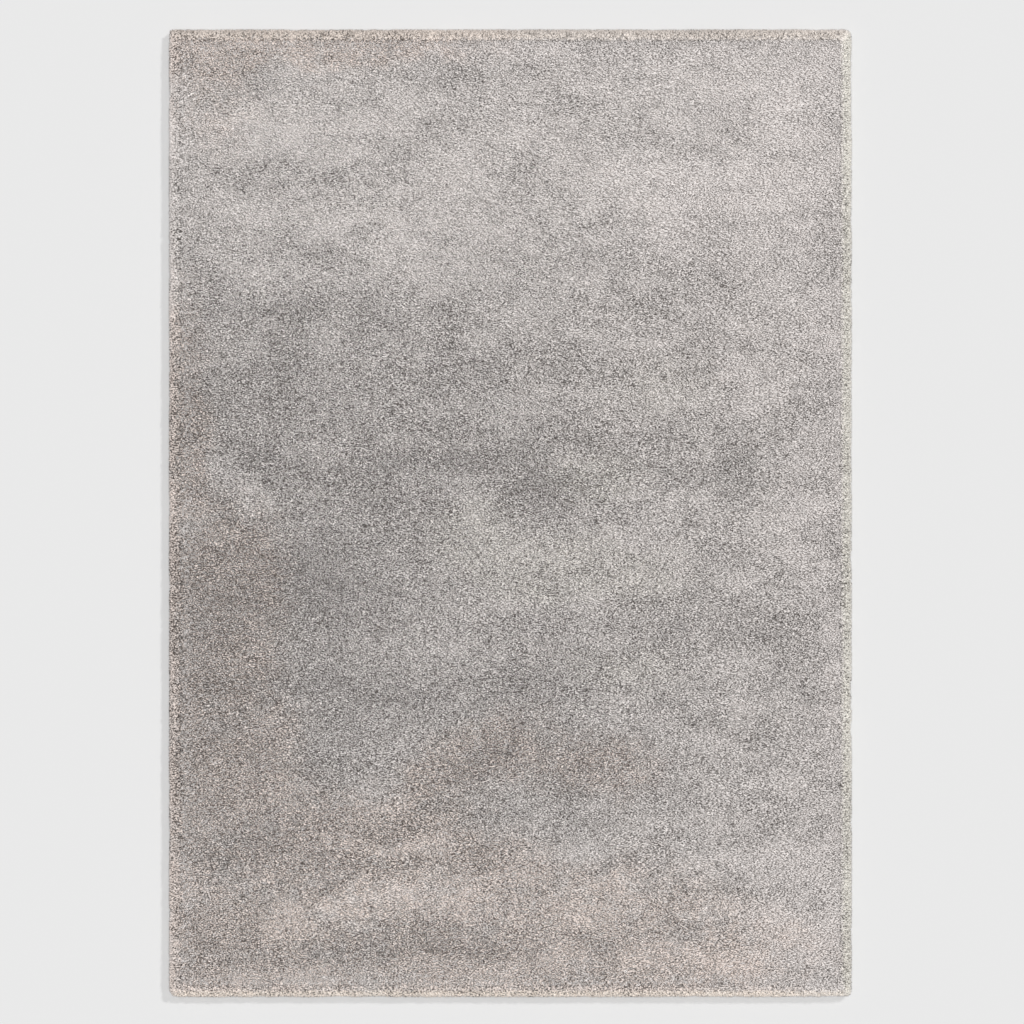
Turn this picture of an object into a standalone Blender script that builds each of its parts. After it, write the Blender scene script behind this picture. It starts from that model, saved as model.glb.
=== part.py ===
"""A plain shag rug lying flat on the floor, 1.2 by 1.7 m, in metres with +Z up.

The rug is one cloth: a lumpy slab of pile on a flat underside, with the pile's outermost locks leaning out
over the edge and down to the floor. The origin is under the middle of the rug, on the floor, +Y runs along
its length, and the pile lies towards +X.
"""

import math
import random
from collections import namedtuple

import bmesh
import bpy
from mathutils import Vector
from mathutils.geometry import delaunay_2d_cdt

# The whole rug, over the tips of its locks.
WIDTH = 1.200
LENGTH = 1.700
THICKNESS = 0.025  # floor to the highest lump of the pile

# The rim, from the crown of the pile out to the tips of the locks.
RIM_REACH = 0.028  # how far the tips stand out from the crown's edge
CROWN_HEIGHT = 0.0180  # of the pile where it starts to fall away to the rim
CROWN_UNEVEN = 0.0015  # most that the crown, and each lock's root, stands over or under its height
CROWN_CORNER_RADIUS = 0.010
ROOT_OUT, ROOT_TOP, ROOT_BOTTOM = 0.42, 0.0148, 0.0040  # share of the reach, and heights, where locks are rooted
SOLE_OUT = 0.34  # share of the reach at which the flat underside ends
EDGE_WAVE = 0.0016  # how far the edge wanders in from a straight line

# The locks round the rim.
LOCKS = 264
LOCK_ROOT_SHARE = (0.74, 0.88)  # of the pitch that a lock's root takes up, least and most
LOCK_REACH_SHARE = (0.78, 1.00)  # of the rim's reach that a lock's tip gets to, least and most
LOCK_LEAN = 0.28  # most that a tip strays along the edge, in pitches
LOCK_MID, LOCK_MID_WIDTH, LOCK_MID_HEIGHT = 0.55, 0.84, 0.0080  # where a lock bends, and its section there
LOCK_TIP_WIDTH, LOCK_TIP_HEIGHT = 0.38, 0.0034  # its blunt end, which lies on the floor

# The lumps of the pile.
LUMP_PITCH = 0.060  # from one lump's top to the next
LUMP_STRAY = 0.16  # most that a top or a hollow strays from its place, in pitches
LUMP_RISE = 0.0037  # most that a lump stands over, or the hollow by it under, the pile's level
LUMP_TO_CROWN = 0.35  # least distance from a lump to the crown's edge, in pitches
PILE_LEVEL = 0.0202  # of the pile, lumps, swells and hollows left out
ROLL_WIDTH = 0.060  # over which the pile falls from that level to the crown's edge

PILE_COLOUR = (0.43, 0.40, 0.38, 1.0)
PILE_ROUGHNESS = 0.95
SEED = 12017

Corner = namedtuple("Corner", "right back radius")
CORNERS = (
    Corner(right=1, back=1, radius=0.016),
    Corner(right=-1, back=1, radius=0.007),
    Corner(right=-1, back=-1, radius=0.017),
    Corner(right=1, back=-1, radius=0.012),
)

# Where the pile stands up (rise over 0) or is trodden down, as it lies: ovals of these half sizes, turned.
Lay = namedtuple("Lay", "x y half_long half_short turn rise")
LAYS = (
    Lay(-0.33, 0.53, 0.24, 0.045, 2, 0.0016),
    Lay(-0.42, 0.68, 0.17, 0.045, 0, 0.0010),
    Lay(0.28, 0.58, 0.16, 0.100, 0, 0.0014),
    Lay(0.46, 0.60, 0.10, 0.110, 90, 0.0014),
    Lay(0.42, 0.79, 0.18, 0.060, 0, 0.0010),
    Lay(0.46, -0.72, 0.17, 0.110, 20, 0.0014),
    Lay(-0.17, -0.68, 0.20, 0.035, 0, 0.0016),
    Lay(-0.20, -0.47, 0.08, 0.060, 0, 0.0010),
    Lay(0.14, -0.07, 0.18, 0.060, 0, 0.0010),
    Lay(-0.47, 0.04, 0.08, 0.050, -40, 0.0012),
    Lay(-0.40, -0.13, 0.21, 0.080, -8, -0.0030),
    Lay(-0.53, -0.33, 0.22, 0.070, 90, -0.0016),
    Lay(0.03, 0.04, 0.09, 0.055, 30, -0.0026),
    Lay(-0.14, 0.09, 0.16, 0.035, 0, -0.0022),
    Lay(-0.12, 0.30, 0.10, 0.035, 90, -0.0016),
    Lay(-0.38, 0.31, 0.09, 0.050, 60, -0.0014),
    Lay(-0.56, 0.26, 0.12, 0.045, 90, -0.0016),
    Lay(0.40, 0.10, 0.09, 0.035, 100, -0.0022),
    Lay(-0.30, -0.32, 0.21, 0.035, -4, -0.0018),
    Lay(-0.04, -0.43, 0.12, 0.045, 22, -0.0026),
    Lay(0.12, -0.45, 0.08, 0.055, 60, -0.0016),
    Lay(0.42, -0.21, 0.14, 0.035, -5, -0.0016),
    Lay(-0.06, -0.76, 0.30, 0.035, 0, -0.0022),
    Lay(-0.11, 0.77, 0.07, 0.040, 0, -0.0018),
)


def clear_scene():
    for thing in list(bpy.data.objects):
        bpy.data.objects.remove(thing, do_unlink=True)


def smooth_step(share):
    share = min(max(share, 0.0), 1.0)
    return share * share * (3.0 - 2.0 * share)


def outside_by(place):
    """How far a place lies outside the rug's outline, a rectangle with a radius of its own at each corner."""
    corner = next(c for c in CORNERS if c.right * place.x >= 0 and c.back * place.y >= 0)
    over_x = abs(place.x) - (WIDTH / 2 - corner.radius)
    over_y = abs(place.y) - (LENGTH / 2 - corner.radius)
    inside = min(max(over_x, over_y), 0.0)
    return math.hypot(max(over_x, 0.0), max(over_y, 0.0)) + inside - corner.radius


def crown_edge(run):
    """Place and outward direction at a run along the crown's edge, anticlockwise from the right side's middle."""
    radius = CROWN_CORNER_RADIUS
    half_x = WIDTH / 2 - RIM_REACH - radius
    half_y = LENGTH / 2 - RIM_REACH - radius
    quarter = math.pi * radius / 2
    turns = ((half_y, 0), (2 * half_x, 90), (2 * half_y, 180), (2 * half_x, 270), (half_y, 360))
    middles = ((1, 1), (-1, 1), (-1, -1), (1, -1))
    for side, (straight, heading) in enumerate(turns):
        outward = Vector((math.cos(math.radians(heading)), math.sin(math.radians(heading))))
        along = Vector((-outward.y, outward.x))
        if run <= straight or side == len(turns) - 1:
            if side == 0:
                start = Vector((half_x + radius, 0.0))
            else:
                corner = Vector((middles[side - 1][0] * half_x, middles[side - 1][1] * half_y))
                start = corner + outward * radius
            return start + along * run, outward
        run -= straight
        if run <= quarter:
            angle = math.radians(heading) + run / radius
            outward = Vector((math.cos(angle), math.sin(angle)))
            corner = Vector((middles[side][0] * half_x, middles[side][1] * half_y))
            return corner + outward * radius, outward
        run -= quarter
    raise ValueError("the run is longer than the crown's edge")


def crown_edge_length():
    radius = CROWN_CORNER_RADIUS
    return 4 * (WIDTH / 2 + LENGTH / 2 - 2 * RIM_REACH - 2 * radius) + 2 * math.pi * radius


def reach_at(place, outward):
    """Distance from the crown's edge out to the rug's outline, which wanders in a little along its sides."""
    reach = RIM_REACH
    for _ in range(12):
        reach -= outside_by(place + outward * reach)
    turn = math.atan2(place.y, place.x)
    wave = 0.5 + 0.25 * math.sin(9 * turn + 1.0) + 0.25 * math.sin(23 * turn + 2.5)
    return reach - EDGE_WAVE * wave


def rim_point(run, share, height):
    """A point of the rim: a share of the way out from the crown's edge, at a height."""
    place, outward = crown_edge(run % crown_edge_length())
    spot = place + outward * (reach_at(place, outward) * share)
    return Vector((spot.x, spot.y, height))


def pile_height(x, y):
    """Height of the pile with its swells and hollows, falling away towards the rim."""
    height = PILE_LEVEL
    for lay in LAYS:
        turn = math.radians(lay.turn)
        long = ((x - lay.x) * math.cos(turn) + (y - lay.y) * math.sin(turn)) / lay.half_long
        short = ((y - lay.y) * math.cos(turn) - (x - lay.x) * math.sin(turn)) / lay.half_short
        height += lay.rise * math.exp(-long * long - short * short)
    to_crown = -outside_by(Vector((x, y))) - RIM_REACH
    return CROWN_HEIGHT + (height - CROWN_HEIGHT) * smooth_step(to_crown / ROLL_WIDTH)


def is_lump(row, column):
    """One point in three of the net is a lump's top, and the six round it lie in the hollows between lumps."""
    return (column - row // 2 - row) % 3 == 0


def pile_points(rng):
    """Tops and hollows of the lumps inside the crown's edge, on an uneven net of triangles."""
    step = LUMP_PITCH / math.sqrt(3)
    row_step = LUMP_PITCH / 2
    stray = LUMP_STRAY * LUMP_PITCH
    rows = int(LENGTH / 2 / row_step)
    columns = int(WIDTH / 2 / step) + 1
    points = []
    for row in range(-rows, rows + 1):
        for column in range(-columns, columns + 1):
            x = (column + 0.5 * (row % 2)) * step + rng.uniform(-stray, stray)
            y = row * row_step + rng.uniform(-stray, stray)
            share = rng.uniform(0.4, 1.0) if is_lump(row, column) else -rng.uniform(0.1, 1.0)
            if -outside_by(Vector((x, y))) > RIM_REACH + LUMP_TO_CROWN * LUMP_PITCH:
                points.append(Vector((x, y, pile_height(x, y) + LUMP_RISE * share)))
    highest = max(point.z for point in points)
    for point in points:
        point.z *= THICKNESS / highest
    return points


def add_pile(bm, crown, points):
    """The top of the slab: triangles between tops and hollows, out to the crown's edge."""
    spots = [vert.co.xy for vert in crown] + [point.xy for point in points]
    edges = [(i, (i + 1) % len(crown)) for i in range(len(crown))]
    placed, _, faces, came_from, _, _ = delaunay_2d_cdt(spots, edges, [], 1, 1e-7)
    verts = crown + [bm.verts.new(point) for point in points]
    at = [verts[origin[0]] for origin in came_from]
    assert len(placed) == len(verts)
    for face in faces:
        bm.faces.new([at[i] for i in face])


def grow_lock(bm, root, rng, run, root_width, root_middle):
    """Extrudes one lock out of its root face: it bends over and its blunt end lies on the floor."""
    pitch = crown_edge_length() / LOCKS
    reach = rng.uniform(*LOCK_REACH_SHARE)
    lean = rng.uniform(-LOCK_LEAN, LOCK_LEAN) * pitch
    bend_out = ROOT_OUT + (reach - ROOT_OUT) * LOCK_MID
    tip_middle = LOCK_TIP_HEIGHT / 2
    bend_middle = root_middle + (tip_middle - root_middle) * LOCK_MID ** 2
    stations = (
        (bend_out, lean * LOCK_MID, root_width * LOCK_MID_WIDTH, bend_middle, LOCK_MID_HEIGHT),
        (reach, lean, root_width * LOCK_TIP_WIDTH, tip_middle, LOCK_TIP_HEIGHT),
    )
    face = root
    for share, aside, width, middle, height in stations:
        face = bmesh.ops.extrude_discrete_faces(bm, faces=[face])["faces"][0]
        for vert, (side, level) in zip(face.verts, ((-1, 1), (-1, -1), (1, -1), (1, 1))):
            vert.co = rim_point(run + aside + side * width / 2, share, middle + level * height / 2)


def add_rim(bm, rng):
    """The rim from the crown's edge down to the underside, with a lock in each pitch. Returns the crown's edge."""
    pitch = crown_edge_length() / LOCKS
    runs = [(i + rng.uniform(0.4, 0.6)) * pitch for i in range(LOCKS)]
    widths = [rng.uniform(*LOCK_ROOT_SHARE) * pitch for _ in range(LOCKS)]
    rises = [rng.uniform(-1, 1) * CROWN_UNEVEN for _ in range(LOCKS)]
    crown = [bm.verts.new(rim_point(run, 0, CROWN_HEIGHT + rise)) for run, rise in zip(runs, rises)]
    sole = [bm.verts.new(rim_point(run, SOLE_OUT, 0)) for run in runs]

    def root_ring(side, height):
        return [
            bm.verts.new(rim_point(run + side * width / 2, ROOT_OUT, height + rise))
            for run, width, rise in zip(runs, widths, rises)
        ]

    top_left, top_right = root_ring(-1, ROOT_TOP), root_ring(1, ROOT_TOP)
    low_left, low_right = root_ring(-1, ROOT_BOTTOM), root_ring(1, ROOT_BOTTOM)
    for i in range(LOCKS):
        after = (i + 1) % LOCKS
        bm.faces.new((crown[i], top_left[i], top_right[i]))
        bm.faces.new((crown[i], top_right[i], top_left[after], crown[after]))
        bm.faces.new((top_right[i], low_right[i], low_left[after], top_left[after]))
        bm.faces.new((low_right[i], low_left[i], sole[i]))
        bm.faces.new((low_right[i], sole[i], sole[after], low_left[after]))
        root = bm.faces.new((top_left[i], low_left[i], low_right[i], top_right[i]))
        root_middle = (ROOT_TOP + ROOT_BOTTOM) / 2 + rises[i]
        grow_lock(bm, root, rng, runs[i], widths[i], root_middle)
    bm.faces.new(sole[::-1])
    return crown


def pile_material():
    material = bpy.data.materials.new("shag_pile")
    material.use_nodes = True
    shader = material.node_tree.nodes["Principled BSDF"]
    shader.inputs["Base Color"].default_value = PILE_COLOUR
    shader.inputs["Roughness"].default_value = PILE_ROUGHNESS
    shader.inputs["Metallic"].default_value = 0.0
    return material


def shag_rug():
    rng = random.Random(SEED)
    bm = bmesh.new()
    crown = add_rim(bm, rng)
    add_pile(bm, crown, pile_points(rng))
    mesh = bpy.data.meshes.new("shag_rug")
    bm.to_mesh(mesh)
    bm.free()
    mesh.shade_smooth()
    mesh.set_sharp_from_angle(angle=math.radians(75))
    mesh.materials.append(pile_material())
    rug = bpy.data.objects.new("shag_rug", mesh)
    bpy.context.scene.collection.objects.link(rug)
    return rug


clear_scene()
shag_rug()
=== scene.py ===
import math
from collections import namedtuple

import bpy
import numpy as np
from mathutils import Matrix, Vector
from mathutils.bvhtree import BVHTree


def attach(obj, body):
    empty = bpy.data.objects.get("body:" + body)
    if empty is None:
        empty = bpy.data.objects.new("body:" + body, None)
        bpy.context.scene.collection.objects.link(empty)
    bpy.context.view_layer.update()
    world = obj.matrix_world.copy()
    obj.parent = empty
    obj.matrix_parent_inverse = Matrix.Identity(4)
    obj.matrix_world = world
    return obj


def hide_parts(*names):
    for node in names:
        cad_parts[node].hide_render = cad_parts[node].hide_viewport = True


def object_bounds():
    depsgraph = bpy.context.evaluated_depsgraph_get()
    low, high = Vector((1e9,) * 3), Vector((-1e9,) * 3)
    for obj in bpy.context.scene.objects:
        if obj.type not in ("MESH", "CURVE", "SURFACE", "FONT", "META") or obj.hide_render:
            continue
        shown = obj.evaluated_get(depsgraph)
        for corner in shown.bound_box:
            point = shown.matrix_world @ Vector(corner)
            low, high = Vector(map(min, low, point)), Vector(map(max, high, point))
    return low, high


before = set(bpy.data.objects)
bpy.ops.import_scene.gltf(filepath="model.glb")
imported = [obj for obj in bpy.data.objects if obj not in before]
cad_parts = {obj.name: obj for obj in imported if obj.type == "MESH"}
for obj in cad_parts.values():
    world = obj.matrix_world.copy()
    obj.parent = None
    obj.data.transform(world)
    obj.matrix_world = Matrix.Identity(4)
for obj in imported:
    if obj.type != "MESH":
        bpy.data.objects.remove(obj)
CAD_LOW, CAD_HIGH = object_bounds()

# ---------------------------------------------------------------------------------------------
# Sizes in metres, in the frame's axes: +X across the rug, +Y along it, +Z up out of the pile.
# ---------------------------------------------------------------------------------------------
NODE = "shag_rug"
SEED = 4417

HALF_WIDTH = (CAD_HIGH.x - CAD_LOW.x) / 2
HALF_LENGTH = (CAD_HIGH.y - CAD_LOW.y) / 2
PILE_TOP = CAD_HIGH.z

# The outline's corners, each with a radius of its own.
Corner = namedtuple("Corner", "right back radius")
CORNERS = (
    Corner(right=1, back=1, radius=0.015),
    Corner(right=-1, back=1, radius=0.007),
    Corner(right=-1, back=-1, radius=0.017),
    Corner(right=1, back=-1, radius=0.012),
)
CORNER_SOFT = 0.012  # how near a corner one side's outward direction turns into the other's
PULL_ROUNDS = 4  # rounds in which a place is moved inside the outline

# The net on which the solid's height is measured, and how high over the floor the rays start.
HEIGHTS_STEP = 0.006
RAY_START = 1.0

# The ground cloth, and the dense roots of the pile on it.
CLOTH_INSET = 0.012
CLOTH_THICKNESS = 0.0024
CLOTH_STEP = 0.100
ROOTS_INSET = 0.0080
ROOTS_IN_CLOTH = 0.0002  # how far the roots' slab goes down into the cloth
ROOTS_LEVEL = 0.0124  # mean height of the roots' surface
ROOTS_AT_EDGE = 0.0105  # the same at their edge
ROOTS_LIFT = 0.0035  # how much higher they stand near the rim, where the tufts part
ROOTS_LIFT_DEPTH = (0.008, 0.022)  # how far in from their edge, fully and at all
ROOTS_ROLL = 0.007  # how far in from their edge they rise
ROOTS_STEP = 0.0125
ROOTS_LINES = (0.0, 0.0020, 0.0045, 0.0080)  # how far in from its edge the net's outermost lines are

# The tufts. Each is pointed at its root and at its tip, with two shoulders between them.
TOP_LEVEL = 0.0218  # height of the tallest tips
TOP_CLEARANCE = 0.0002  # least that a tip ends under the solid's highest point
SOLID_LEVEL = 0.0180  # mean height of the solid inside its sloping rim
SOLID_RIM = 0.030  # how far in the solid's rim slopes
SWELL_SHARE = 0.45  # how much of the solid's swells and hollows the tips follow
TUFT_PITCH = 0.00316
PITCH_STRAY = 0.32  # share of the pitch
TUFT_WIDTH = 0.0029  # from shoulder to shoulder
WIDTH_STRAY = (0.75, 1.25)
WIDER_UPRIGHT = 0.5  # how much wider a tuft is that stands straight up, which shows less of its length
TUFT_DROP = 0.0042  # most that a tuft ends under the top
TUFT_SINK = 0.003  # how far under the roots' surface a tuft starts
TUFT_LEAN = 0.0080  # how far a tip is from its root, along the rug's lay
LEAN_STRAY = (0.7, 1.3)
LEAN_WAVE = 0.25  # how much the lean changes from place to place
TIP_STRAY = 0.0008
RIM_SPLAY = 0.0036  # how much more the tips stray near the rim, where the lay turns outward
TUFTS_START = (0.0065, 0.0080)  # depths inside the outline of the first tufts
SHOULDER_RISE = 0.85  # shares of the way from root to tip
SHOULDER_RUN = 0.55
TURN_STRAY_DEG = 15.0  # how the lay turns: from tuft to tuft, and in wide and in close waves
TURN_WIDE_DEG = 16.0
TURN_CLOSE_DEG = 18.0
ROLL_STRAY_DEG = 25.0  # how far tufts are rolled about their own length
TUFTS_A_PIECE = 25000
EDGE_LEAN = 0.0045  # outward, at the rim
EDGE_WIDTH = 0.010  # over this far in from the rim the tufts stop leaning outward
TURN_WIDTH = 0.040  # and over this far they take up the rug's own lay
TURN_DEPTH_STRAY = 0.004
THICK_RIM = 0.024  # the pile is set twice as close as elsewhere from the rim to here

# The rim: tufts in a fan, from ones that lie out over the floor to ones that stand.
FanPoint = namedtuple("FanPoint", "share root_depth root_z tip_depth tip_z")
FAN = (
    FanPoint(0.00, 0.0100, 0.0030, 0.0030, 0.0008),
    FanPoint(0.14, 0.0095, 0.0022, 0.0015, 0.0045),
    FanPoint(0.28, 0.0095, 0.0022, 0.0003, 0.0095),
    FanPoint(0.42, 0.0100, 0.0028, 0.0000, 0.0138),
    FanPoint(0.54, 0.0115, 0.0040, 0.0010, 0.0172),
    FanPoint(0.66, 0.0135, 0.0060, 0.0045, 0.0193),
    FanPoint(0.82, 0.0170, 0.0090, 0.0095, 0.0203),
    FanPoint(1.00, 0.0230, 0.0120, 0.0170, 0.0208),
)
FAN_SPACING = 0.00022  # from tuft to tuft, round the rug
FAN_STRAY = 0.0025  # of the tips, along the rim
FAN_ROOT_STRAY = 0.0012  # mean of how much deeper inside the outline a root is than the table says
FAN_TIP_STRAY = 0.0010
FAN_TUFT_WIDTH = 0.0038
RimPoint = namedtuple("RimPoint", "depth drop")
RIM_PROFILE = (  # how far the tips end under the top, by their depth inside the outline
    RimPoint(0.0000, 0.0070),
    RimPoint(0.0015, 0.0036),
    RimPoint(0.0040, 0.0017),
    RimPoint(0.0080, 0.0005),
    RimPoint(0.0120, 0.0000),
)
RIM_WAVE_SHARES = (0.05, 0.45, 0.40)  # of the outline's wave: what is even, and its wide and fine noise
RIM_JITTER = 0.0006
RIM_DEPTH = 0.020  # how far in the tufts take on the painted light or shade of their side's rim
RIM_EVEN = 0.5  # how much more even in tone the rim's tufts are than the rest
BAND_FADE = (0.7, 1.3)  # the shares of its side's band between which a rim tuft's tint fades
LEAST_HEIGHT = 0.0004  # of any point of a tuft over the floor

# The camera, from the photograph's frame.
PHOTO_SIDE_PX = 1024
METRES_PER_PX = 0.001751
VIEW_OFF_X, VIEW_OFF_Y = 0.0028, 0.0021
CAMERA_HEIGHT = 10.0
CAMERA_REACH = 100.0
SENSOR_WIDTH = 36.0

# Light on a pale floor: a soft lamp at the back right, a wider one overhead, and an even white surround.
FLOOR_HALF = 25.0
FLOOR_UNDER = 0.0008
FLOOR_COLOUR = (0.74, 0.74, 0.74)
SURROUND_STRENGTH = 0.243
Lamp = namedtuple("Lamp", "name strength width_deg elevation_deg azimuth_deg")
LAMPS = (
    Lamp("side_lamp", strength=1.07, width_deg=6.0, elevation_deg=40.0, azimuth_deg=40.0),
    Lamp("top_lamp", strength=2.022, width_deg=24.0, elevation_deg=90.0, azimuth_deg=0.0),
)

# All the rug's materials. Noise and waves are scaled for places in metres, and bumps are in metres.
FIBRE_ROUGHNESS = 0.92
FIBRE_SPECULAR = 0.12
SHEEN_ROUGHNESS = 0.5
YARN_SHEEN = 0.15
DULL_SHEEN = 0.05  # of the roots and the cloth

# The yarn, and its single fibres, which are fine streaks across the rug, as the pile lies.
# The colour at a tuft's root is painted shade: darker, for the shade deep down between the tufts, and fading
# to the tip's colour.
ROOT_SHADE_COLOUR = (0.390, 0.354, 0.330)
TIP_COLOUR = (0.842, 0.799, 0.778)
SHOULDER_UP = 0.8  # share of the tip's colour at a tuft's shoulders, and at most at its root
ROOT_SHADE_LIFT_IN_LIGHT = 3.0  # how fast the painted shade at the roots fades where the pile's tone is lighter
WARM_TINT = (1.052, 0.993, 0.955)
CREAM_TINT = (1.000, 1.030, 0.955)
DARK_COLOUR = (0.026, 0.014, 0.006)  # what the yarn's colour goes to where it is darkest
YARN_TONES = (0.15, 1.15)  # least and greatest, before the fibres' streaks
YARN_BUMP = 0.0003
FLECK_SCALE = 480.0
FLECK_STRETCH = (0.7, 1.15, 0.25)
FLECK_MOST = 0.12  # how much lighter than its tuft a fleck is at most
FIBRE_SCALE = 2400.0
FIBRE_STRETCH = (0.25, 1.0, 0.25)
FIBRE_SHARE = 1.3  # how strongly the fibres' streaks lighten and darken the yarn

# The roots.
ROOTS_TONE = 1.05
ROOTS_DARK = (0.33, 0.313, 0.304)
ROOTS_LIGHT = (0.93, 0.885, 0.865)
ROOTS_SCALE = 760.0
ROOTS_STRETCH = (0.6, 1.0, 1.0)
ROOTS_STEEP = (0.38, 0.62)  # the noise's values where the roots are darkest and lightest
ROOTS_BUMP = 0.0014

# The ground cloth: plain weave, with thicker and paler places in its yarn.
CLOTH_COLOUR = (0.50, 0.45, 0.37)
CLOTH_DARK = (0.30, 0.26, 0.20)
WEAVE_SCALE = 95.0
WEAVE_DISTORTION = 0.4
WEAVE_DETAIL = 1.0
WEAVE_BUMP = 0.0012
SLUB_COLOUR = (0.60, 0.55, 0.46)
SLUB_SCALE = 60.0
SLUB_DETAIL = 4.0
SLUB_SHARE = 0.5
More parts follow.
